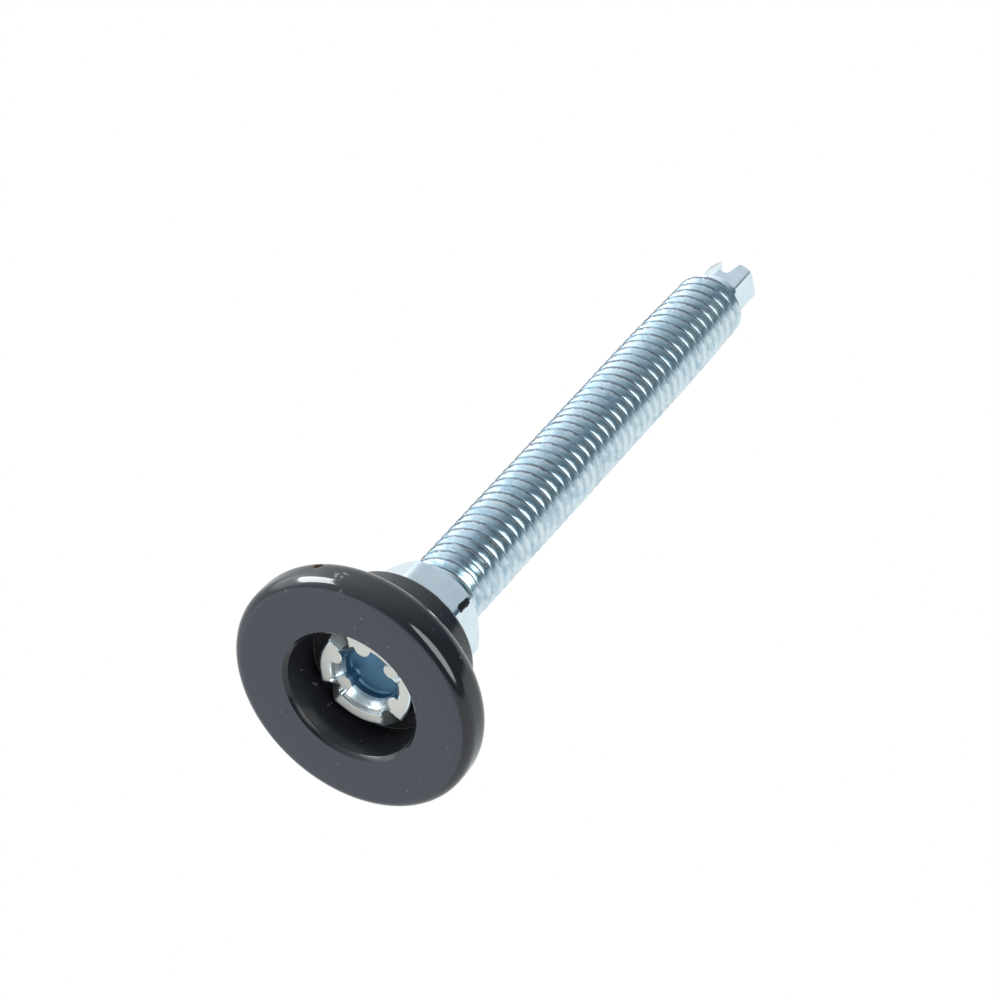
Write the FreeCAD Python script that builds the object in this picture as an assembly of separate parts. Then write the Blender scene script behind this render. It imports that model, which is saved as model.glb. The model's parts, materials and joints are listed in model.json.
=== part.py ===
import FreeCAD, Part
import math
import os

# Levelling foot: a one-piece steel spindle that turns in a round moulded pad.
# Millimetres. +Z runs up the spindle, and the origin is on the floor under the middle of the pad.

# Pad, seen as half of its turned section
pad_diameter = 19.5
pad_rim_height = 2.9
pad_lower_rounding = 0.95
pad_upper_rounding = 1.5
hub_root_diameter = 12.4
hub_root_height = 4.0
hub_root_rounding = 1.5
hub_diameter = 11.6
hub_height = 7.75
hub_rounding = 0.5
recess_diameter = 10.4
recess_depth = 3.75
recess_mouth_chamfer = 0.3

# Fit of the spindle in the pad
journal_clearance = 0.05
collar_gap = 0.05

# Lower end of the spindle, under the pad's recess floor
journal_diameter = 6.6
journal_reach = 1.6
flare_diameter = 7.7
flare_height = 1.2
flare_edge_rounding = 0.25

# Driver socket in the lower end: a round hole with round-nosed teeth, one of its six places bare
socket_diameter = 5.6
socket_depth = 1.7
tooth_count = 6
bare_tooth_index = 3
tooth_width = 1.2
tooth_gap = 4.24
tooth_start_angle = 9

# Stakes that spread the lower end so that the pad can't come off
stake_count = 4
stake_start_angle = 67
stake_width = 2.0
stake_reach = 4.15
stake_lip_height = 0.35
stake_lip_slope = 0.9
stake_notch_inner_radius = 1.7
stake_notch_inner_width = 1.2
stake_notch_outer_width = 2.2

# Hexagon collar for a spanner
collar_across_flats = 8.0
collar_corner_rounding = 0.6
collar_turn = 5
collar_height = 4.55
collar_chamfer_angle = 40

# Threaded shank, at the thread's major diameter
thread_diameter = 5.92
thread_length = 44.05
thread_end_chamfer = 0.8

# Small hexagon with a screwdriver slot at the tip
tip_across_flats = 3.7
tip_height = 2.75
tip_end_chamfer = 0.3
slot_width = 1.5
slot_bottom_width = 1.1
slot_depth = 1.5
slot_bottom_rounding = 0.4
slot_turn = 8

# Heights that follow from the sizes above
end_height = recess_depth - journal_reach
collar_base = hub_height + collar_gap
collar_top = collar_base + collar_height
thread_top = collar_top + thread_length
tip_top = thread_top + tip_height

origin = FreeCAD.Vector(0, 0, 0)
up = FreeCAD.Vector(0, 0, 1)


def outline_wire(corners):
    # Closed wire in the XZ plane through (radius, height, rounding) corners, each rounding a tangent arc.
    points = [FreeCAD.Vector(radius, 0, height) for radius, height, rounding in corners]
    turns = []
    for index, (radius, height, rounding) in enumerate(corners):
        corner = points[index]
        if rounding == 0:
            turns.append((corner, None, corner))
            continue
        before = (points[index - 1] - corner).normalize()
        after = (points[(index + 1) % len(points)] - corner).normalize()
        half_angle = before.getAngle(after) / 2
        setback = rounding / math.tan(half_angle)
        bisector = (before + after).normalize()
        middle = corner + bisector * (rounding / math.sin(half_angle) - rounding)
        turns.append((corner + before * setback, middle, corner + after * setback))
    edges = []
    for index, (start, middle, end) in enumerate(turns):
        if middle is not None:
            edges.append(Part.Arc(start, middle, end).toShape())
        following = turns[(index + 1) % len(turns)][0]
        if following.distanceToPoint(end) > 1e-6:
            edges.append(Part.makeLine(end, following))
    return Part.Wire(edges)


def turned(corners):
    # Solid of revolution about the spindle's axis.
    return Part.Face(outline_wire(corners)).revolve(origin, up, 360)


def hexagon_prism(across_flats, base, height):
    # Upright hexagonal prism with corners on the +X and -X sides.
    corner_radius = across_flats / math.sqrt(3)
    corners = []
    for index in range(6):
        angle = math.radians(60 * index)
        corners.append(FreeCAD.Vector(corner_radius * math.cos(angle), corner_radius * math.sin(angle), base))
    wire = Part.makePolygon(corners + corners[:1])
    return Part.Face(wire).extrude(FreeCAD.Vector(0, 0, height))


def around(shape, count, start_angle, left_out=None):
    # Copies of a shape made on the +X side, spread evenly about the spindle's axis.
    copies = []
    for index in range(count):
        if index == left_out:
            continue
        turned_copy = shape.copy()
        turned_copy.rotate(origin, up, start_angle + 360 * index / count)
        copies.append(turned_copy)
    return copies


def foot_pad():
    pad_radius = pad_diameter / 2
    recess_radius = recess_diameter / 2
    bore_radius = journal_diameter / 2 + journal_clearance
    return turned([
        (recess_radius + recess_mouth_chamfer, 0, 0),
        (pad_radius, 0, pad_lower_rounding),
        (pad_radius, pad_rim_height, pad_upper_rounding),
        (hub_root_diameter / 2, hub_root_height, hub_root_rounding),
        (hub_diameter / 2, hub_height, hub_rounding),
        (bore_radius, hub_height, 0),
        (bore_radius, recess_depth, 0),
        (recess_radius, recess_depth, 0),
        (recess_radius, recess_mouth_chamfer, 0),
    ])


def journal():
    # Round lower end, flared below the pad so that it can't be pulled out upward.
    flare_radius = flare_diameter / 2
    journal_radius = journal_diameter / 2
    return turned([
        (0, end_height, 0),
        (flare_radius, end_height, flare_edge_rounding),
        (journal_radius, end_height + flare_height, 0),
        (journal_radius, collar_base, 0),
        (0, collar_base, 0),
    ])


def stake_lip():
    # Wedge of metal pushed out past the flare by one stake, on the +X side.
    root_radius = journal_diameter / 4
    corners = [
        FreeCAD.Vector(root_radius, -stake_width / 2, end_height),
        FreeCAD.Vector(stake_reach, -stake_width / 2, end_height),
        FreeCAD.Vector(stake_reach, -stake_width / 2, end_height + stake_lip_height),
        FreeCAD.Vector(root_radius, -stake_width / 2, end_height + stake_lip_height + stake_lip_slope),
    ]
    wire = Part.makePolygon(corners + corners[:1])
    return Part.Face(wire).extrude(FreeCAD.Vector(0, stake_width, 0))


def chisel_section(radius, width):
    # Right-angled V at one distance from the axis, its point up in the metal.
    corners = [
        FreeCAD.Vector(radius, -width / 2, end_height),
        FreeCAD.Vector(radius, width / 2, end_height),
        FreeCAD.Vector(radius, 0, end_height + width / 2),
    ]
    return Part.makePolygon(corners + corners[:1])


def stake_notch():
    # Chisel mark across one stake, wider and deeper towards the outside, where it is open.
    inner = chisel_section(stake_notch_inner_radius, stake_notch_inner_width)
    outer = chisel_section(stake_reach, stake_notch_outer_width)
    return Part.makeLoft([inner, outer], True, True)


def driver_socket():
    # The hole's form as a solid: a round bore less its round-nosed teeth.
    bore = Part.makeCylinder(socket_diameter / 2, socket_depth, FreeCAD.Vector(0, 0, end_height))
    nose_radius = tooth_width / 2
    nose_centre = tooth_gap / 2 + nose_radius
    nose = Part.makeCylinder(nose_radius, socket_depth, FreeCAD.Vector(nose_centre, 0, end_height))
    flank_corner = FreeCAD.Vector(nose_centre, -nose_radius, end_height)
    flanks = Part.makeBox(socket_diameter / 2, tooth_width, socket_depth, flank_corner)
    return bore.cut(around(nose.fuse(flanks), tooth_count, tooth_start_angle, bare_tooth_index))


def collar():
    # Hexagon whose top corners are turned away by a cone that meets the thread.
    rise_per_radius = math.tan(math.radians(collar_chamfer_angle))
    thread_radius = thread_diameter / 2
    corner_radius = collar_across_flats / math.sqrt(3)
    corner_top = collar_top - (corner_radius - thread_radius) * rise_per_radius
    cone = turned([
        (0, collar_base, 0),
        (corner_radius, collar_base, 0),
        (corner_radius, corner_top, 0),
        (thread_radius, collar_top, 0),
        (0, collar_top, 0),
    ])
    hexagon = hexagon_prism(collar_across_flats, collar_base, collar_height)
    upright = [edge for edge in hexagon.Edges if abs(edge.Length - collar_height) < 1e-6 and edge.tangentAt(0).z]
    hexagon = hexagon.makeFillet(collar_corner_rounding, upright)
    hexagon.rotate(origin, up, collar_turn)
    return hexagon.common(cone)


def shank():
    # Thread blank at the major diameter, chamfered at the top.
    thread_radius = thread_diameter / 2
    return turned([
        (0, collar_top, 0),
        (thread_radius, collar_top, 0),
        (thread_radius, thread_top - thread_end_chamfer, 0),
        (thread_radius - thread_end_chamfer, thread_top, 0),
        (0, thread_top, 0),
    ])


def slotted_tip():
    # Small hexagon with chamfered end corners and a round-bottomed slot, turned a little past its corners.
    corner_radius = tip_across_flats / math.sqrt(3)
    envelope = turned([
        (0, thread_top, 0),
        (corner_radius, thread_top, 0),
        (corner_radius, tip_top - tip_end_chamfer, 0),
        (corner_radius - tip_end_chamfer, tip_top, 0),
        (0, tip_top, 0),
    ])
    hexagon = hexagon_prism(tip_across_flats, thread_top, tip_height).common(envelope)
    slot_bottom = tip_top - slot_depth
    section = outline_wire([
        (-slot_width / 2, tip_top, 0),
        (-slot_bottom_width / 2, slot_bottom, slot_bottom_rounding),
        (slot_bottom_width / 2, slot_bottom, slot_bottom_rounding),
        (slot_width / 2, tip_top, 0),
    ])
    slot = Part.Face(section).extrude(FreeCAD.Vector(0, 2 * tip_across_flats, 0))
    slot.translate(FreeCAD.Vector(0, -tip_across_flats, 0))
    slot.rotate(origin, up, 90 + slot_turn)
    return hexagon.cut(slot)


def threaded_spindle():
    lower_end = journal().fuse(around(stake_lip(), stake_count, stake_start_angle))
    lower_end = lower_end.cut(around(stake_notch(), stake_count, stake_start_angle) + [driver_socket()])
    return lower_end.fuse([collar(), shank(), slotted_tip()]).removeSplitter()


os.makedirs("parts", exist_ok=True)
foot_pad().exportStep("parts/foot_pad.step")
threaded_spindle().exportStep("parts/threaded_spindle.step")
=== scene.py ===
import json
import math

import bmesh
import bpy
from mathutils import Matrix, Vector


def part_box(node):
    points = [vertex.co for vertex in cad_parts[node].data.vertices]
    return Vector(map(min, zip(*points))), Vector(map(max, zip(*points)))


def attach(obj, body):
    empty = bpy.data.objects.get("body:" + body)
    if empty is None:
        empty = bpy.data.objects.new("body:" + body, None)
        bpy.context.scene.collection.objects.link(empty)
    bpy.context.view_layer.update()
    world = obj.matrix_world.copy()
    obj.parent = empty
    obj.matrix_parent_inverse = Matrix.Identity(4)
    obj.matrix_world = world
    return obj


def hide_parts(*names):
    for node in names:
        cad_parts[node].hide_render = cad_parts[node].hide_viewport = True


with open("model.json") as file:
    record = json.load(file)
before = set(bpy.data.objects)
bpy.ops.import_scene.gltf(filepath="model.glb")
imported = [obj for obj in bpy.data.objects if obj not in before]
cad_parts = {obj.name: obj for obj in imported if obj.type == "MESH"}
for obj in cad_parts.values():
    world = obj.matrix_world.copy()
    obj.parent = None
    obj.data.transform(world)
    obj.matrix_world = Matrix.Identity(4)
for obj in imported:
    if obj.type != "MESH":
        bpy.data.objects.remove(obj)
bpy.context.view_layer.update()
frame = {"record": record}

mm = 0.001

threadMount = next(mount for mount in frame["record"]["mounts"] if mount["name"] == "thread")
spindleLow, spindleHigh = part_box("threaded_spindle")
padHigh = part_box("foot_pad")[1]


class Value:                                    # a socket that Python's operators work on, by adding Math nodes
    def __init__(self, sheet, socket):
        self.sheet = sheet
        self.socket = socket

    def maths(self, operation, first, second=None):
        inputs = [first] if second is None else [first, second]
        return self.sheet.add("ShaderNodeMath", {"operation": operation}, inputs)

    def __add__(self, other):
        return self.maths("ADD", self, other)

    def __radd__(self, other):
        return self.maths("ADD", other, self)

    def __sub__(self, other):
        return self.maths("SUBTRACT", self, other)

    def __rsub__(self, other):
        return self.maths("SUBTRACT", other, self)

    def __mul__(self, other):
        return self.maths("MULTIPLY", self, other)

    def __rmul__(self, other):
        return self.maths("MULTIPLY", other, self)

    def __truediv__(self, other):
        return self.maths("DIVIDE", self, other)

    def __rtruediv__(self, other):
        return self.maths("DIVIDE", other, self)

    def __pow__(self, other):
        return self.maths("POWER", self, other)

    def __abs__(self):
        return self.maths("ABSOLUTE", self)

    def above(self, low, high):                 # 0 below low, 1 above high, smooth between
        settings = {"interpolation_type": "SMOOTHSTEP"}
        return self.sheet.add("ShaderNodeMapRange", settings, {"Value": self, "From Min": low, "From Max": high})

    def below(self, low, high):
        return 1 - self.above(low, high)


class Sheet:                                    # the nodes of one material or world
    def __init__(self, tree):
        self.tree = tree
        tree.nodes.clear()

    def add(self, kind, settings=None, values=None, output=0):
        node = self.tree.nodes.new(kind)
        for name, setting in (settings or {}).items():
            if name == "stops":                 # a ramp's colours
                for index, (place, colour) in enumerate(setting):
                    stop = node.color_ramp.elements[index] if index < 2 else node.color_ramp.elements.new(place)
                    stop.position = place
                    stop.color = (*colour, 1)
            else:
                setattr(node, name, setting)
        pairs = values.items() if isinstance(values, dict) else enumerate(values or [])
        for key, value in pairs:
            if isinstance(value, Value):
                self.tree.links.new(value.socket, node.inputs[key])
            else:
                node.inputs[key].default_value = value
        return Value(self, node.outputs[output]) if len(node.outputs) else node

    def mix(self, factor, first, second):       # a colour mix
        sockets = {0: factor, 6: colourOf(first), 7: colourOf(second)}
        return self.add("ShaderNodeMix", {"data_type": "RGBA"}, sockets, 2)

    def noise(self, place, scale, detail=3, roughness=0.5, output=0):
        values = {"Vector": place, "Scale": scale, "Detail": detail, "Roughness": roughness}
        return self.add("ShaderNodeTexNoise", {}, values, output)


def colourOf(value):
    return value if isinstance(value, Value) else (*value, 1)


def newMaterial(name):
    material = bpy.data.materials.new(name)
    material.use_nodes = True
    return material, Sheet(material.node_tree)


# Camera at the photo's angle: below the pad, with the spindle rising to the upper right
photoView = {
    "azimuth": 45,                              # side of the object that the camera is on
    "elevation": -43.86,
    "roll": 42.88,
    "distance": 336.48 * mm,                    # along the view to the middle of the pad's underside
    "padAcross": -10.626 * mm,                  # that point's place, right of the middle of the picture
    "padDown": 13.901 * mm,
    "focalLength": 172.3,
    "sensorWidth": 36,
}


def makeCamera(view):
    azimuth = math.radians(view["azimuth"])
    elevation = math.radians(view["elevation"])
    towards = Vector((math.cos(azimuth) * math.cos(elevation), math.sin(azimuth) * math.cos(elevation),
                      math.sin(elevation)))
    turn = (-towards).to_track_quat("-Z", "Y") @ Matrix.Rotation(math.radians(view["roll"]), 3, "Z").to_quaternion()
    camera = bpy.data.objects.new("photoCamera", bpy.data.cameras.new("photoCamera"))
    camera.data.lens = view["focalLength"]
    camera.data.sensor_width = view["sensorWidth"]
    camera.data.clip_start = 10 * mm
    camera.data.clip_end = 10
    padInView = Vector((view["padAcross"], -view["padDown"], -view["distance"]))
    camera.rotation_mode = "QUATERNION"
    camera.rotation_quaternion = turn
    camera.location = -(turn @ padInView)
    bpy.context.scene.collection.objects.link(camera)
    bpy.context.scene.camera = camera


makeCamera(photoView)
print("camera made")


def linkPiece(name, mesh, material):
    piece = bpy.data.objects.new(name, mesh)
    bpy.context.scene.collection.objects.link(piece)
    mesh.materials.append(material)
    return piece


def joinRings(shape, lower, upper):
    if len(lower) == len(upper):
        for j in range(len(lower)):
            k = (j + 1) % len(lower)
            shape.faces.new((lower[j], lower[k], upper[k], upper[j]))
        return
    for j in range(len(upper)):                 # three fine columns below meet one coarse column
        k = (j + 1) % len(upper)
        a, b, c, d = (lower[(3 * j + step) % len(lower)] for step in range(4))
        shape.faces.new((a, b, upper[j]))
        shape.faces.new((b, c, upper[k], upper[j]))
        shape.faces.new((c, d, upper[k]))


def smoothByAngle(mesh, degrees):
    mesh.shade_smooth()
    mesh.set_sharp_from_angle(angle=math.radians(degrees))


def roundedSection(corners, steps=8):
    # Points (radius, height) along a section, each corner (radius, height, rounding) turned by an arc
    points = []
    count = len(corners)
    for index, (r, z, rounding) in enumerate(corners):
        corner = Vector((r, z))
        if rounding == 0:
            points.append(corner)
            continue
        before = (Vector(corners[index - 1][:2]) - corner).normalized()
        after = (Vector(corners[(index + 1) % count][:2]) - corner).normalized()
        half = before.angle(after) / 2
        centre = corner + (before + after).normalized() * (rounding / math.sin(half))
        start = corner + before * (rounding / math.tan(half)) - centre
        end = corner + after * (rounding / math.tan(half)) - centre
        sweep = math.atan2(start.x * end.y - start.y * end.x, start.dot(end))
        for step in range(steps + 1):
            angle = sweep * step / steps
            turned = Vector((start.x * math.cos(angle) - start.y * math.sin(angle),
                             start.x * math.sin(angle) + start.y * math.cos(angle)))
            points.append(centre + turned)
    return points


# Spindle: rings of points from the staked lower end to the slotted tip, with the thread's rows on a helix
spindle = {
    "endHeight": spindleLow.z,
    "poleRadius": 0.05 * mm,                    # the small ring that closes each end
    "socketRadius": 2.82 * mm,
    "socketDepth": 1.7 * mm,
    "floorRings": ((0.5, 0), (0.8, 0.01), (0.93, 0.06), (1, 0.2)),      # share of the way out, mm off the floor
    # Share of the way from the noses to the wall, mm in from the end
    "wallRings": ((0, 1.05), (0, 0.95), (0.1, 0.86), (0.27, 0.69), (0.48, 0.5), (0.7, 0.3), (0.88, 0.13)),
    "mouthRings": ((0, 0.07), (0.02, 0.02), (0.06, 0)),                 # mm outside the wall, mm in from the end
    "toothTip": 2.12 * mm,                      # axis to a tooth's nose
    "toothNose": 0.6 * mm,
    "toothAngles": (9, 69, 129, 249, 309),      # the sixth place is bare
    "stakeAngles": (67, 157, 247, 337),
    "struckTeeth": (69, 249),                   # driven in by the stake beside them, the hidden second one assumed
    "struckTip": 1.72 * mm,
    "struckDepth": 0.42 * mm,
    "struckWidth": 1.03,                        # of a nose's width, so that its whole end is lowered
    "stakeInner": 2.8 * mm,
    "stakeInnerHalfWidth": 0.5 * mm,
    "stakeOuterHalfWidth": 1.1 * mm,
    "stakeLip": 0.27 * mm,
    "stakeLipSpread": 13,                       # degrees
    "flareRadius": 3.85 * mm,
    "flareHeight": 1.2 * mm,
    "flareEdge": 0.25 * mm,
    "journalRadius": 3.3 * mm,
    "collarFlats": 8.0 * mm,
    "collarCorner": 0.6 * mm,                   # rounding of the upright corners
    "collarTurn": 5,                            # degrees past the tip's hexagon
    "collarBase": 7.8 * mm,
    "collarTop": 12.35 * mm,
    "collarCone": 40,
    "threadRadius": threadMount["dims"]["r_mm"] * mm,
    "threadDepth": 0.56 * mm,
    "pitch": 1.0 * mm,
    "threadLead": 0.44,                         # where in its turn the crest starts
    "threadTop": 55.6 * mm,
    "grooveEnd": 54.9 * mm,
    "grooveFade": 0.5 * mm,                     # the groove runs out over this length
    "endRadius": 2.24 * mm,                     # where the end's cone meets the neck
    "endSlope": 1.0,
    "neckStep": 0.1 * mm,                       # the neck is this much thinner
    # Share of the way from the neck out to the tip's hexagon, mm above the thread
    "neckRings": ((0, 0.03), (0, 0.6), (0.1, 0.64), (0.9, 0.68), (1, 0.72), (1, 1.1)),
    "taperStart": 46 * mm,                      # the last turns are rolled a little thinner
    "taper": 0.14 * mm,
    "unevenness": 0.006 * mm,
    "runOut": 1.1 * mm,
    "tipFlats": 3.7 * mm,
    "tipCorner": 0.22 * mm,
    "tipTop": spindleHigh.z,
    "tipChamfer": 0.18 * mm,                    # at its corners
    "tipEdge": 0.08 * mm,                       # the least of it, on the flats
    "slotWidth": 1.7 * mm,
    "slotBottomWidth": 1.15 * mm,
    "slotDepth": 1.9 * mm,
    "slotAside": -0.1 * mm,                     # its middle lies a little off the axis
    "slotRounding": 0.4 * mm,
    "slotTurn": 8,
}


def columnAngles():
    # Close together at the two hexagons' corners; the same columns run up the whole spindle
    offsets = [0, 1.1, 2.2, 3.1, 4, 5, 6, 7.1, 8.9, 12.5, 17, 21.5, 26, 30.5, 35, 39.5, 44, 48.5, 53, 56.9, 58.4]
    return [math.radians(60 * side + offset) for side in range(6) for offset in offsets]


def inThree(angles):
    # The same columns with two more in each gap
    fine = []
    for index, angle in enumerate(angles):
        following = angles[(index + 1) % len(angles)] + (math.tau if index + 1 == len(angles) else 0)
        fine += [angle + (following - angle) * step / 3 for step in range(3)]
    return fine


def hexRadius(angle, flats, corner, turn=0):
    # Axis to the side of a hexagon with rounded corners, one of them at the angle turn
    offset = abs((angle - math.radians(turn) + math.pi / 6) % (math.pi / 3) - math.pi / 6)
    centre = (flats / 2 - corner) / math.cos(math.pi / 6)
    if offset > math.atan2(corner / 2, centre + corner * math.cos(math.pi / 6)):
        return flats / 2 / math.cos(math.pi / 6 - offset)
    return centre * math.cos(offset) + math.sqrt(corner ** 2 - (centre * math.sin(offset)) ** 2)


def angleBetween(a, b):
    return (a - b + math.pi) % math.tau - math.pi


def smooth(low, high, x):
    t = min(1, max(0, (x - low) / (high - low)))
    return t * t * (3 - 2 * t)


sameSide = 1                                    # radians to a tooth or stake, beyond which it can't reach


def socketEdge(angle, s):
    # Axis to the socket's wall, which the teeth's round noses come in from
    edge = s["socketRadius"]
    for toothAngle in s["toothAngles"]:
        offset = angleBetween(angle, math.radians(toothAngle))
        centre = (s["struckTip"] if toothAngle in s["struckTeeth"] else s["toothTip"]) + s["toothNose"]
        inside = s["toothNose"] ** 2 - (centre * math.sin(offset)) ** 2
        if inside > 0 and abs(offset) < sameSide:
            edge = min(edge, centre * math.cos(offset) - math.sqrt(inside))
    return edge


def stakeCut(r, angle, s):
    # How far the end is pressed in here: flat over a struck tooth, and a right-angled V in a chisel mark
    deepest = 0
    for toothAngle in s["struckTeeth"]:
        offset = angleBetween(angle, math.radians(toothAngle))
        onTooth = abs(r * math.sin(offset)) < s["toothNose"] * s["struckWidth"] and r < s["socketRadius"]
        if onTooth and abs(offset) < sameSide:
            deepest = s["struckDepth"]
    for stakeAngle in s["stakeAngles"]:
        offset = angleBetween(angle, math.radians(stakeAngle))
        reach = (r * math.cos(offset) - s["stakeInner"]) / (s["flareRadius"] + s["stakeLip"] - s["stakeInner"])
        if abs(offset) > sameSide or reach < 0:
            continue
        halfWidth = s["stakeInnerHalfWidth"] + reach * (s["stakeOuterHalfWidth"] - s["stakeInnerHalfWidth"])
        deepest = max(deepest, halfWidth - abs(r * math.sin(offset)))
    return deepest


def endPoint(r, angle, height, s):
    return (r, angle, max(height, s["endHeight"] + stakeCut(r, angle, s)))


def lowerEndRings(angles, s):
    low = s["endHeight"]
    floor = low + s["socketDepth"]
    rings = [[(s["poleRadius"], a, floor) for a in angles]]
    for share, off in s["floorRings"]:
        rings.append([endPoint(min(socketEdge(a, s), s["toothTip"]) * share, a, floor - off * mm, s) for a in angles])
    for share, depth in s["wallRings"]:
        ring = []
        for a in angles:
            inner = min(socketEdge(a, s), s["toothTip"])
            ring.append(endPoint(inner + (socketEdge(a, s) - inner) * share, a, low + depth * mm, s))
        rings.append(ring)
    for out, depth in s["mouthRings"]:
        rings.append([endPoint(socketEdge(a, s) + out * mm, a, low + depth * mm, s) for a in angles])
    rounding = s["flareEdge"]
    for share in (0.16, 0.32, 0.48, 0.64, 0.82, 1):
        ring = []
        for a in angles:
            inner = socketEdge(a, s) + s["mouthRings"][-1][0] * mm
            outer = s["flareRadius"] + lipAt(a, s) - rounding
            ring.append(endPoint(inner + (outer - inner) * share, a, low, s))
        rings.append(ring)
    for out, up in ((0.38, 0.08), (0.71, 0.29), (0.92, 0.62), (1, 1)):          # a quarter round
        ring = []
        for a in angles:
            outer = s["flareRadius"] + lipAt(a, s) - rounding
            ring.append(endPoint(outer + rounding * out, a, low + rounding * up, s))
        rings.append(ring)
    for share in (0.25, 0.5, 0.75, 1):
        ring = []
        for a in angles:
            outer = s["flareRadius"] + lipAt(a, s)
            radius = outer + (s["journalRadius"] - outer) * smooth(0, 1, share)
            ring.append(endPoint(radius, a, low + rounding + (s["flareHeight"] - rounding) * share, s))
        rings.append(ring)
    return rings


def lipAt(angle, s):
    spread = math.radians(s["stakeLipSpread"])
    return sum(s["stakeLip"] * math.exp(-(angleBetween(angle, math.radians(stake)) / spread) ** 2)
               for stake in s["stakeAngles"])


def collarRadius(angle, s):
    return hexRadius(angle, s["collarFlats"], s["collarCorner"], s["collarTurn"])


def collarRings(angles, s):
    slope = math.tan(math.radians(s["collarCone"]))
    rings = [[(s["journalRadius"], a, s["collarBase"]) for a in angles]]
    for inward, up in ((0.15, 0), (0.03, 0.04), (0, 0.15)):
        rings.append([(collarRadius(a, s) - inward * mm, a, s["collarBase"] + up * mm) for a in angles])
    for below, inward in ((0.10, 0), (0.03, 0.01), (-0.02, 0.05), (-0.07, 0.12)):
        ring = []
        for a in angles:
            edge = s["collarTop"] - (collarRadius(a, s) - s["threadRadius"]) * slope
            ring.append((collarRadius(a, s) - inward * mm, a, edge - below * mm))
        rings.append(ring)
    for out, below in ((0.2, 0.16), (0.03, 0.02), (0, 0)):
        rings.append([(s["threadRadius"] + out * mm, a, s["collarTop"] - below * mm) for a in angles])
    return rings


threadShape = (                                 # place in the pitch, share of the thread's depth
    (-0.5, 1.0), (-0.46, 0.99), (-0.42, 0.95), (-0.37, 0.86), (-0.11, 0.15), (-0.07, 0.035), (0, 0.0),
    (0.07, 0.035), (0.11, 0.15), (0.37, 0.86), (0.42, 0.95), (0.46, 0.99))


def depthAt(phase):
    phase = (phase + 0.5) % 1 - 0.5
    shape = list(threadShape) + [(0.5, 1.0)]
    for (p0, d0), (p1, d1) in zip(shape, shape[1:]):
        if p0 <= phase <= p1:
            return d0 + (d1 - d0) * (phase - p0) / (p1 - p0)
    return 1


def threadRadiusAt(z, angle, cut, s):
    # Thinner at the last turns, cut off by the end's chamfer, and never quite even
    blank = s["threadRadius"] - s["taper"] * smooth(s["taperStart"], s["threadTop"], z)
    blank -= s["unevenness"] * (1 + math.sin(5 * angle + z / mm * 2.9) * math.sin(11 * angle - z / mm * 1.7))
    cone = s["endRadius"] + (s["threadTop"] - z) * s["endSlope"]
    return min(blank - s["threadDepth"] * cut, cone)


def threadRings(angles, s):
    # Rows follow the helix and are held between the thread's two ends
    start = s["collarTop"]
    end = s["threadTop"]
    plainFrom = s["grooveEnd"] + s["grooveFade"]
    turns = int((end - start) / s["pitch"]) + 2
    rings = []
    for turn in range(-2, turns):
        for phase, depth in threadShape:
            ring = []
            for a in angles:
                z = start + s["pitch"] * (turn + phase + s["threadLead"] + a / math.tau)
                held = min(max(z, start), end)
                cut = depth if held == z else depthAt((held - start) / s["pitch"] - s["threadLead"] - a / math.tau)
                cut *= smooth(0, s["runOut"], held - start) * smooth(0, s["grooveFade"], plainFrom - held)
                radius = s["threadRadius"] if held == start else threadRadiusAt(held, a, cut, s)
                ring.append((radius, a, held))
            rings.append(ring)
    return rings


def helixMesh(angles, s):
    # The threaded stretch is sheared, so its last column joins the first one a turn higher
    shape = bmesh.new()
    rings = threadRings(angles, s)
    perTurn = len(threadShape)
    made = [[shape.verts.new((r * math.cos(a), r * math.sin(a), z)) for r, a, z in ring] for ring in rings]
    last = len(angles) - 1
    for i in range(len(made) - 1):
        for j in range(last):
            shape.faces.new((made[i][j], made[i][j + 1], made[i + 1][j + 1], made[i + 1][j]))
        if i + perTurn + 1 < len(made):
            shape.faces.new((made[i][last], made[i + perTurn][0], made[i + perTurn + 1][0], made[i + 1][last]))
    return shape


def tipRings(angles, s):
    top = s["tipTop"]
    chamfer = s["tipChamfer"]
    corner = s["tipFlats"] / math.sqrt(3)
    neck = s["endRadius"] - s["neckStep"]
    rings = [[(s["endRadius"], a, s["threadTop"]) for a in angles]]
    for share, up in s["neckRings"]:
        ring = []
        for a in angles:
            radius = neck + (hexRadius(a, s["tipFlats"], s["tipCorner"]) - neck) * share
            ring.append((radius, a, s["threadTop"] + up * mm))
        rings.append(ring)
    for below, inward in ((0.05, 0), (0, 0.015), (-0.05, 0.05)):
        ring = []
        for a in angles:
            radius = hexRadius(a, s["tipFlats"], s["tipCorner"])
            edge = top - max(s["tipEdge"], chamfer - (corner - radius))
            ring.append((radius - inward * mm, a, min(edge - below * mm, top - 0.01 * mm)))
        rings.append(ring)
    rings.append([(min(hexRadius(a, s["tipFlats"], s["tipCorner"]), corner - chamfer) - 0.05 * mm, a, top)
                  for a in angles])
    rings.append([(0.6 * mm, a, top) for a in angles])
    rings.append([(s["poleRadius"], a, top) for a in angles])
    return rings


def addRings(shape, rings, closeFirst=False, closeLast=False):
    made = [[shape.verts.new((r * math.cos(a), r * math.sin(a), z)) for r, a, z in ring] for ring in rings]
    for lower, upper in zip(made, made[1:]):
        joinRings(shape, lower, upper)
    if closeFirst:
        shape.faces.new(made[0][::-1])
    if closeLast:
        shape.faces.new(made[-1])


weldDistance = 2e-7                             # metres
thinEdge = 1e-8


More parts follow.
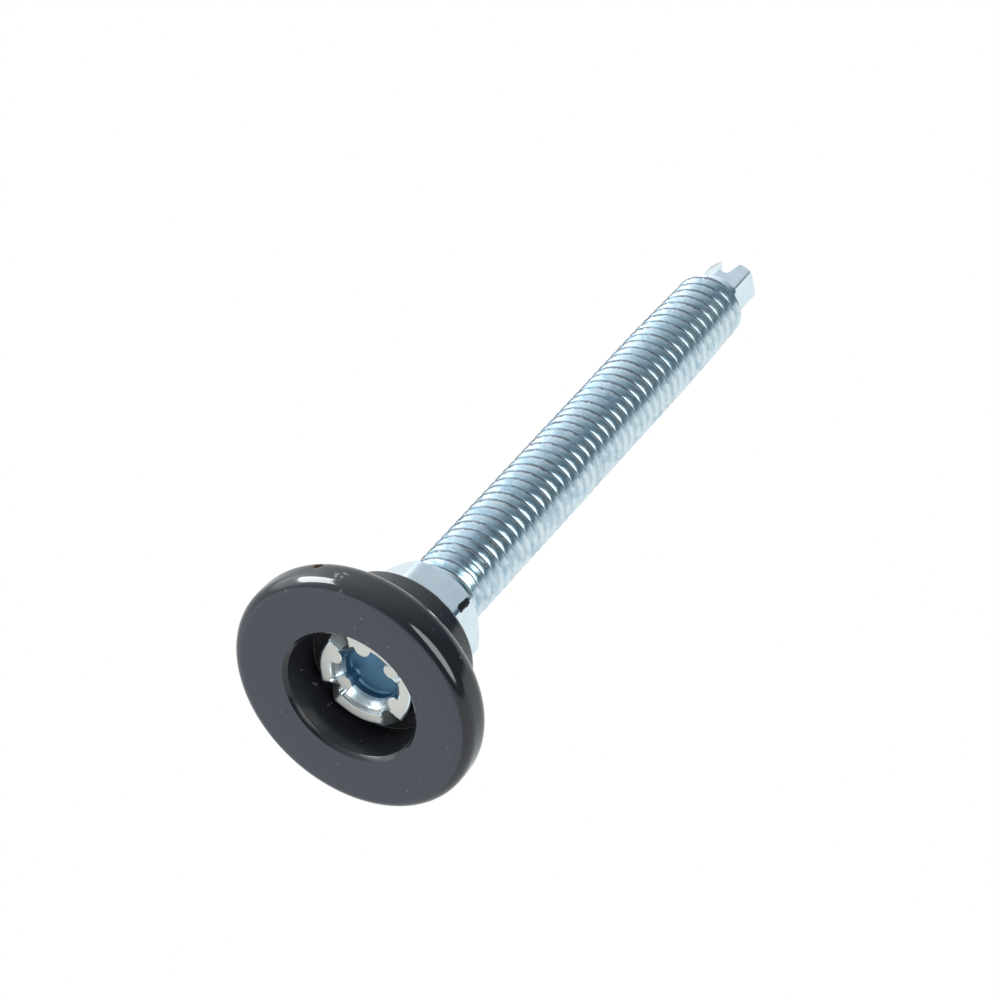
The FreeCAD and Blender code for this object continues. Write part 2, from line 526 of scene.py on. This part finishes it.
def spindleMesh(s):
    angles = columnAngles()
    fine = inThree(angles)
    shape = helixMesh(angles, s)
    bottom = lowerEndRings(fine, s) + collarRings(angles, s)
    addRings(shape, bottom, closeFirst=True)
    addRings(shape, tipRings(angles, s), closeLast=True)
    bmesh.ops.remove_doubles(shape, verts=shape.verts, dist=weldDistance)
    bmesh.ops.dissolve_degenerate(shape, edges=shape.edges, dist=thinEdge)
    bmesh.ops.recalc_face_normals(shape, faces=shape.faces)
    mesh = bpy.data.meshes.new("threadedSpindle")
    shape.to_mesh(mesh)
    shape.free()
    return mesh


def slotCutter(s):
    # Round-bottomed slot across the tip, a little past its corners and wider at its mouth
    low = s["tipTop"] - s["slotDepth"]
    over = 0.5 * mm
    flare = (s["slotWidth"] - s["slotBottomWidth"]) / 2 * over / s["slotDepth"]
    section = roundedSection([
        (-s["slotWidth"] / 2 - flare, s["tipTop"] + over, 0),
        (-s["slotBottomWidth"] / 2, low, s["slotRounding"]),
        (s["slotBottomWidth"] / 2, low, s["slotRounding"]),
        (s["slotWidth"] / 2 + flare, s["tipTop"] + over, 0),
    ])
    shape = bmesh.new()
    ends = [[shape.verts.new((x, y, z)) for y, z in section] for x in (-s["tipFlats"], s["tipFlats"])]
    joinRings(shape, ends[0], ends[1])
    shape.faces.new(ends[0][::-1])
    shape.faces.new(ends[1])
    bmesh.ops.translate(shape, vec=(0, s["slotAside"], 0), verts=shape.verts)
    turn = Matrix.Rotation(math.radians(s["slotTurn"]), 3, "Z")
    bmesh.ops.rotate(shape, matrix=turn, verts=shape.verts)
    bmesh.ops.recalc_face_normals(shape, faces=shape.faces)
    mesh = bpy.data.meshes.new("slotCutter")
    shape.to_mesh(mesh)
    shape.free()
    return mesh


def cutAway(piece, cutterMesh):
    cutter = bpy.data.objects.new("cutter", cutterMesh)
    bpy.context.scene.collection.objects.link(cutter)
    modifier = piece.modifiers.new("cut", "BOOLEAN")
    modifier.operation = "DIFFERENCE"
    modifier.solver = "EXACT"
    modifier.object = cutter
    bpy.context.view_layer.update()
    result = bpy.data.meshes.new_from_object(piece.evaluated_get(bpy.context.evaluated_depsgraph_get()))
    piece.modifiers.clear()
    piece.data = result
    bpy.data.objects.remove(cutter)


zinc = {
    "colour": (0.74, 0.84, 0.88),
    "flankShadeAndPatchColour": (0.22, 0.37, 0.47),           # painted shade on the thread's flanks and roots, partly thicker plating; also random darker patches
    "crestSeamAndShadeColour": (0.04, 0.05, 0.07),           # dark line on the crest: partly the rolled crest not quite closing, partly a painted dark reflection
    "crestLineWidth": (0.085, 0.14),                 # off the crest, in pitches; a pair is where a soft edge starts and ends
    "crestShadeSide": -20,                            # where the painted dark reflection on the crest is strongest
    "endTop": (5 * mm, 5.2 * mm),               # the lower end's own finishes reach up to here
    "faceColour": (0.74, 0.73, 0.68),           # the bare pressed face at the lower end
    "faceRadius": (3.56 * mm, 3.66 * mm),
    "chiselColour": (0.27, 0.28, 0.28),
    "chiselTop": (3.3 * mm, 3.4 * mm),
    "chiselDown": (-0.82, -0.76),               # a mark's walls face down at about 45 degrees,
    "chiselSide": (-0.64, -0.58),               # between these two
    # painted darker and bluer deep inside the socket
    "socketColour": (0.09, 0.21, 0.32),
    "darkReflectionColour": (0.04, 0.045, 0.05),          # painted dark reflection on one corner of the collar
    "darkReflectionAngle": 65,
    "darkReflectionReach": (4 * mm, 4.1 * mm),            # from the axis
    "darkReflectionWidth": (0.18 * mm, 0.32 * mm),
    "darkReflectionBottom": (9.0 * mm, 9.9 * mm),
    "darkReflectionTop": (10.65 * mm, 10.8 * mm),
    "scratchAngle": 35.7,
    "scratchReach": (3.5 * mm, 3.6 * mm),
    "scratchWidth": (0.015 * mm, 0.04 * mm),
    "scratchBottom": (10.2 * mm, 10.5 * mm),
    "scratchTop": (10.9 * mm, 11.2 * mm),
    "scratchSlope": 0.1,
    "scratchAside": 1.07 * mm,
    "roughness": 0.12,
}


def placeNodes(sheet):
    # Object coordinates, their three parts, and how far the surface faces up
    place = sheet.add("ShaderNodeTexCoord", {}, {}, 3)
    x, y, z = (sheet.add("ShaderNodeSeparateXYZ", {}, [place], part) for part in range(3))
    facing = sheet.add("ShaderNodeSeparateXYZ", {}, [sheet.add("ShaderNodeTexCoord", {}, {}, 1)], 2)
    return place, x, y, z, facing


def span(start, low, high):
    # Both ends of a soft edge, in mm past a height or a radius
    return start + low * mm, start + high * mm


def along(sheet, place, angle):
    # Distance from the axis towards one side, given in degrees
    direction = (math.cos(math.radians(angle)), math.sin(math.radians(angle)), 0)
    return sheet.add("ShaderNodeVectorMath", {"operation": "DOT_PRODUCT"}, [place, direction], 1)


def zincMaterial(z, s):
    material, sheet = newMaterial("zinc")
    place, x, y, height, facing = placeNodes(sheet)
    radius = (x * x + y * y) ** 0.5
    patches = sheet.noise(place, 900, 4)
    grain = sheet.noise(place, 9000, 3)
    inThread = height.above(*span(s["collarTop"], 0, 0.3)) * height.below(*span(s["grooveEnd"], 0, 0.4))
    around = sheet.add("ShaderNodeMath", {"operation": "ARCTAN2"}, [y, x]) / math.tau
    turn = (height - s["collarTop"]) / s["pitch"] - around - s["threadLead"] + 0.5
    offCrest = abs(turn - turn.maths("FLOOR", turn) - 0.5) + (sheet.noise(place, 3200, 3) - 0.5) * 0.16
    # Dark line along the crest: partly a rolled seam, partly a painted dark reflection, strongest on one side
    side = along(sheet, place, z["crestShadeSide"])
    seamAndShade = offCrest.below(*z["crestLineWidth"]) * inThread * (0.12 + 0.88 * side.above(0.2 * mm, 1.7 * mm))
    # Painted shade on the thread's flanks and roots, partly thicker plating there
    colour = sheet.mix(offCrest.above(0.1, 0.3) * inThread * 0.5, z["colour"], z["flankShadeAndPatchColour"])
    colour = sheet.mix(seamAndShade * 0.9, colour, z["crestSeamAndShadeColour"])
    # Random darker patches in the same colour
    colour = sheet.mix(patches.above(0.45, 0.7) * (0.1 + inThread * 0.35), colour, z["flankShadeAndPatchColour"])
    atEnd = height.below(*z["endTop"])
    chiselled = height.above(*span(s["endHeight"], 0.05, 0.12)) * height.below(*z["chiselTop"])
    chiselled = chiselled * facing.above(*z["chiselDown"]) * facing.below(*z["chiselSide"])
    endFace = height.below(*span(s["endHeight"], 0.45, 0.5)) * facing.below(-0.95, -0.8)
    endFace = endFace * radius.below(*z["faceRadius"])
    socket = radius.below(*span(s["socketRadius"], 0, 0.03)) * atEnd
    # Darker, bluer colour painted deep inside the socket
    floor = socket * height.above(*span(s["endHeight"], 0.55, 0.9)) * (1 - chiselled)
    colour = sheet.mix(floor * 0.95, colour, z["socketColour"])
    colour = sheet.mix(endFace, colour, z["faceColour"])
    colour = sheet.mix(chiselled, colour, z["chiselColour"])
    # Painted dark reflection on one corner of the collar, broken up by noise
    aside = abs(along(sheet, place, z["darkReflectionAngle"] + 90)) + (patches - 0.5) * 0.5 * mm
    darkReflection = aside.below(*z["darkReflectionWidth"]) * along(sheet, place, z["darkReflectionAngle"]).above(*z["darkReflectionReach"])
    darkReflection = darkReflection * height.above(*z["darkReflectionBottom"]) * height.below(*z["darkReflectionTop"])
    darkReflection = (darkReflection + grain * 0.35).above(0.45, 0.6) * darkReflection.above(0, 0.05)
    colour = sheet.mix(darkReflection, colour, z["darkReflectionColour"])
    aside = abs(along(sheet, place, z["scratchAngle"] + 90) + height * z["scratchSlope"] - z["scratchAside"])
    scratch = aside.below(*z["scratchWidth"]) * along(sheet, place, z["scratchAngle"]).above(*z["scratchReach"])
    scratch = scratch * height.above(*z["scratchBottom"]) * height.below(*z["scratchTop"])
    ridges = sheet.add("ShaderNodeTexWave", {"bands_direction": "DIAGONAL"},
                       {"Vector": place, "Scale": 900, "Distortion": 3, "Detail": 2, "Detail Scale": 2}, 1)
    worn = endFace * 0.3 + chiselled * 0.33 + floor * 0.35 + darkReflection * 0.3 + seamAndShade * 0.3
    rough = z["roughness"] + patches * 0.05 + grain * 0.05 + inThread * 0.04 + worn
    relief = grain * (0.4 + inThread * 0.8 + (chiselled + endFace) * 2) + patches * 0.8 - scratch * 1.5
    relief = relief + ridges * chiselled * 4
    bump = sheet.add("ShaderNodeBump", {}, {"Strength": 0.15, "Distance": 0.02 * mm, "Height": relief})
    shader = sheet.add("ShaderNodeBsdfPrincipled", {}, {"Base Color": colour, "Metallic": 1.0, "Roughness": rough,
                                                        "Normal": bump})
    sheet.add("ShaderNodeOutputMaterial", {}, {"Surface": shader})
    return material


zincSteel = zincMaterial(zinc, spindle)
spindlePiece = linkPiece("threadedSpindle", spindleMesh(spindle), zincSteel)
cutAway(spindlePiece, slotCutter(spindle))
smoothByAngle(spindlePiece.data, 30)
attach(spindlePiece, "spindle")
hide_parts("threaded_spindle")
print("spindle made,", len(spindlePiece.data.polygons), "faces")


# Pad: turned section with rounded corners
pad = {
    "columns": 256,
    "radius": padHigh.x - 0.006 * mm,           # keeps inside the facets of the solid
    "rimHeight": 2.9 * mm,
    "lowerRounding": 0.95 * mm,
    "upperRounding": 1.5 * mm,
    "hubRootRadius": 6.2 * mm,
    "hubRootHeight": 4.0 * mm,
    "hubRootRounding": 1.5 * mm,
    "hubRadius": 5.8 * mm,
    "hubHeight": padHigh.z,
    "hubRounding": 0.5 * mm,
    "boreRadius": 3.35 * mm,
    "recessRadius": 5.2 * mm,
    "recessDepth": 3.75 * mm,
    "mouthChamfer": 0.3 * mm,
    "edgeRounding": 0.1 * mm,
    "recessCorner": 0.08 * mm,
    "nickDepth": 0.12 * mm,
    "nickWidth": 0.3 * mm,
}


def padMesh(p):
    section = roundedSection([
        (p["recessRadius"] + p["mouthChamfer"], 0, p["edgeRounding"]),
        (p["radius"], 0, p["lowerRounding"]),
        (p["radius"], p["rimHeight"], p["upperRounding"]),
        (p["hubRootRadius"], p["hubRootHeight"], p["hubRootRounding"]),
        (p["hubRadius"], p["hubHeight"], p["hubRounding"]),
        (p["boreRadius"], p["hubHeight"], p["edgeRounding"]),
        (p["boreRadius"], p["recessDepth"], p["edgeRounding"]),
        (p["recessRadius"], p["recessDepth"], p["recessCorner"]),
        (p["recessRadius"], p["mouthChamfer"], p["edgeRounding"]),
    ])
    shape = bmesh.new()
    angles = [math.tau * step / p["columns"] for step in range(p["columns"])]
    made = [[shape.verts.new((r * math.cos(a), r * math.sin(a), z)) for a in angles] for r, z in section]
    for lower, upper in zip(made, made[1:] + made[:1]):
        joinRings(shape, lower, upper)
    for vertex in shape.verts:                  # a nick knocked into the rim
        away = (vertex.co - Vector(p["nick"])).length
        vertex.co.xy *= 1 - p["nickDepth"] / p["radius"] * math.exp(-(away / p["nickWidth"]) ** 2)
    bmesh.ops.recalc_face_normals(shape, faces=shape.faces)
    mesh = bpy.data.meshes.new("footPad")
    shape.to_mesh(mesh)
    shape.free()
    return mesh


plastic = {
    "colour": (0.010, 0.0115, 0.0145),
    "undersideSheenColour": (0.034, 0.042, 0.058),   # painted sheen: the underside is painted lighter and bluer; its satin roughness is the fine mould texture
    "dustColour": (0.36, 0.38, 0.40),
    "nickColour": (0.035, 0.02, 0.012),
    "nickSize": 0.5 * mm,
    "scuffSize": 0.75 * mm,
    "edgeMarkSize": 0.4 * mm,
    "gloss": 0.08,
    "recessGloss": 0.24,
    "satin": 0.36,
}


def onRim(angle, height):
    radians = math.radians(angle)
    return (pad["radius"] * math.cos(radians), pad["radius"] * math.sin(radians), height)


def near(sheet, place, centre, size):
    # 1 around a place, 0 beyond the size
    return sheet.add("ShaderNodeVectorMath", {"operation": "DISTANCE"}, [place, centre], 1).below(size * 0.4, size)


def plasticMaterial(q, p):
    material, sheet = newMaterial("blackPlastic")
    place, x, y, height, facing = placeNodes(sheet)
    radius = (x * x + y * y) ** 0.5
    underside = height.below(*span(0, 0.03, 0.15)) * facing.below(-0.96, -0.86)
    recess = radius.below(*span(p["recessRadius"], 0.1, 0.2)) * height.below(*span(p["recessDepth"], 0.1, 0.2))
    grain = sheet.noise(place, 7000, 2)
    clouds = sheet.noise(place, 260, 4)
    smears = sheet.noise(place, 1500, 5, 0.7)
    specks = sheet.noise(place, 2300, 1).above(0.745, 0.77)
    fine = sheet.noise(place, 5200, 1).above(0.76, 0.79)
    strokes = sheet.noise(place, 2600, 3, 0.6).above(0.50, 0.60)
    scuff = near(sheet, place, p["scuff"], q["scuffSize"]) * strokes
    scuff = scuff + near(sheet, place, p["edgeMark"], q["edgeMarkSize"]) * strokes * 0.6
    nick = (near(sheet, place, p["nick"], q["nickSize"]) + smears * 0.3).above(0.45, 0.6)
    # Painted sheen on the underside
    colour = sheet.mix(underside, q["colour"], q["undersideSheenColour"])
    colour = sheet.mix(specks * 0.3 + fine * 0.15, colour, q["dustColour"])
    colour = sheet.mix(scuff * 0.28, colour, q["dustColour"])
    rough = q["gloss"] + underside * (q["satin"] - q["gloss"]) + recess * (q["recessGloss"] - q["gloss"])
    rough = rough + clouds * 0.04 + scuff * 0.3
    relief = grain * 0.4 + clouds * 1.2 + scuff * 2 - nick * 2
    bump = sheet.add("ShaderNodeBump", {}, {"Strength": 0.06, "Distance": 0.03 * mm, "Height": relief})
    shader = sheet.add("ShaderNodeBsdfPrincipled", {}, {"Base Color": colour, "Roughness": rough,
                                                        "Normal": bump, "IOR": 1.5})
    torn = sheet.add("ShaderNodeBsdfDiffuse", {}, {"Color": (*q["nickColour"], 1)})
    mended = sheet.add("ShaderNodeMixShader", {}, [nick, shader, torn])
    sheet.add("ShaderNodeOutputMaterial", {}, {"Surface": mended})
    return material


pad["nick"] = onRim(-9, 2.1 * mm)
pad["scuff"] = onRim(5, 1.3 * mm)
pad["edgeMark"] = (9.03 * mm, 1.43 * mm, 0.06 * mm)
blackPlastic = plasticMaterial(plastic, pad)
padPiece = linkPiece("footPad", padMesh(pad), blackPlastic)
smoothByAngle(padPiece.data, 50)
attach(padPiece, "pad")
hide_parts("foot_pad")
print("pad made,", len(padPiece.data.polygons), "faces")


# Studio: the foot lay on a white table, in a room bright on one side, between two softboxes
studio = {
    "up": (0.947, 0.281, -0.135),               # from the table, seen in the foot's own frame
    "brightSide": (0.5, -0.86, 0.0),
    "level": 0.5,                               # of the room, between its bright and its dark side
    "sideways": 0.95,                           # how much the level rises towards the bright side
    "upwards": 0.15,
    "window": 1.4,                              # more light at the very side,
    "windowEdge": (0.72, 0.95),                 # from the first of these cosines to the second
    "darkest": 0.14,
    "horizon": (-0.10, 0.03),                   # between the table and the room
    "darkTint": (0.42, 0.80, 1.0),
    "brightTint": (0.87, 0.95, 1.02),
    "table": (0.93, 0.97, 0.99),
    "fill": 0.45,
    "floorColour": (0.86, 0.87, 0.88),
    "floorSize": 0.6,
    "floorLevel": -0.02 * mm,
    "floorFade": (0.45, 0.95),                  # of half its size, where it becomes clear
}


def studioWorld(g):
    world = bpy.data.worlds.new("studio")
    bpy.context.scene.world = world
    world.use_nodes = True
    sheet = Sheet(world.node_tree)
    direction = sheet.add("ShaderNodeTexCoord", {}, {}, 0)

    def towards(side):
        return sheet.add("ShaderNodeVectorMath", {"operation": "DOT_PRODUCT"}, [direction, side], 1)

    aside = towards(g["brightSide"])
    level = g["level"] + aside * g["sideways"] + towards((0, 0, 1)) * g["upwards"]
    level = level + aside.above(*g["windowEdge"]) * g["window"]
    level = level.maths("MAXIMUM", level, g["darkest"])
    seen = sheet.mix(level.above(0.0, 0.7), g["darkTint"], g["brightTint"])
    table = towards(g["up"]).below(*g["horizon"])
    isCamera, isGlossy = (sheet.add("ShaderNodeLightPath", {}, {}, output) for output in (0, 3))
    fill = sheet.add("ShaderNodeBackground", {}, {"Color": (1, 1, 1, 1), "Strength": g["fill"]})
    room = sheet.add("ShaderNodeBackground", {}, {"Color": sheet.mix(table, seen, g["table"]),
                                                  "Strength": level + (1 - level) * table})
    white = sheet.add("ShaderNodeBackground", {}, {"Color": (1, 1, 1, 1), "Strength": 1.0})
    lit = sheet.add("ShaderNodeMixShader", {}, [isGlossy, fill, room])
    shown = sheet.add("ShaderNodeMixShader", {}, [isCamera, lit, white])
    sheet.add("ShaderNodeOutputWorld", {}, {"Surface": shown})


softboxes = {
    "nearBox": {"side": (0.766, -0.64, -0.065), "shape": "RECTANGLE", "wide": 0.25, "high": 0.37, "power": 4.4},
    "farBox": {"side": (0.312, 0.858, -0.407), "shape": "ELLIPSE", "wide": 0.48, "high": 0.36, "power": 2.5},
}


softboxDistance = 0.5


def addSoftbox(name, box):
    lamp = bpy.data.lights.new(name, "AREA")
    lamp.shape = box["shape"]
    lamp.size = box["wide"]
    lamp.size_y = box["high"]
    lamp.energy = box["power"]
    thing = bpy.data.objects.new(name, lamp)
    side = Vector(box["side"]).normalized()
    thing.location = side * softboxDistance
    thing.rotation_mode = "QUATERNION"
    thing.rotation_quaternion = (-side).to_track_quat("-Z", "Y")
    thing.visible_camera = False
    bpy.context.scene.collection.objects.link(thing)


def studioFloor(g):
    half = g["floorSize"] / 2
    mesh = bpy.data.meshes.new("floor")
    level = g["floorLevel"]
    corners = [(-half, -half, level), (half, -half, level), (half, half, level), (-half, half, level)]
    mesh.from_pydata(corners, [], [(0, 1, 2, 3)])
    material, sheet = newMaterial("paleFloor")
    place = sheet.add("ShaderNodeTexCoord", {}, {}, 3)
    x, y = (sheet.add("ShaderNodeSeparateXYZ", {}, [place], part) for part in range(2))
    nearMask = ((x * x + y * y) ** 0.5).below(*(half * share for share in g["floorFade"]))
    behind = sheet.add("ShaderNodeNewGeometry", {}, {}, 6)
    paint = sheet.add("ShaderNodeBsdfPrincipled", {}, {"Base Color": (*g["floorColour"], 1), "Roughness": 0.8})
    clear = sheet.add("ShaderNodeBsdfTransparent")
    shown = sheet.add("ShaderNodeMixShader", {}, [nearMask * (1 - behind), clear, paint])
    sheet.add("ShaderNodeOutputMaterial", {}, {"Surface": shown})
    floor = linkPiece("floor", mesh, material)
    floor.visible_diffuse = False
    floor.visible_glossy = False
    floor.visible_transmission = False
    floor.visible_shadow = False


studioWorld(studio)
studioFloor(studio)
for name, box in softboxes.items():
    addSoftbox(name, box)
print("studio made")

bpy.context.scene.view_settings.view_transform = "Standard"
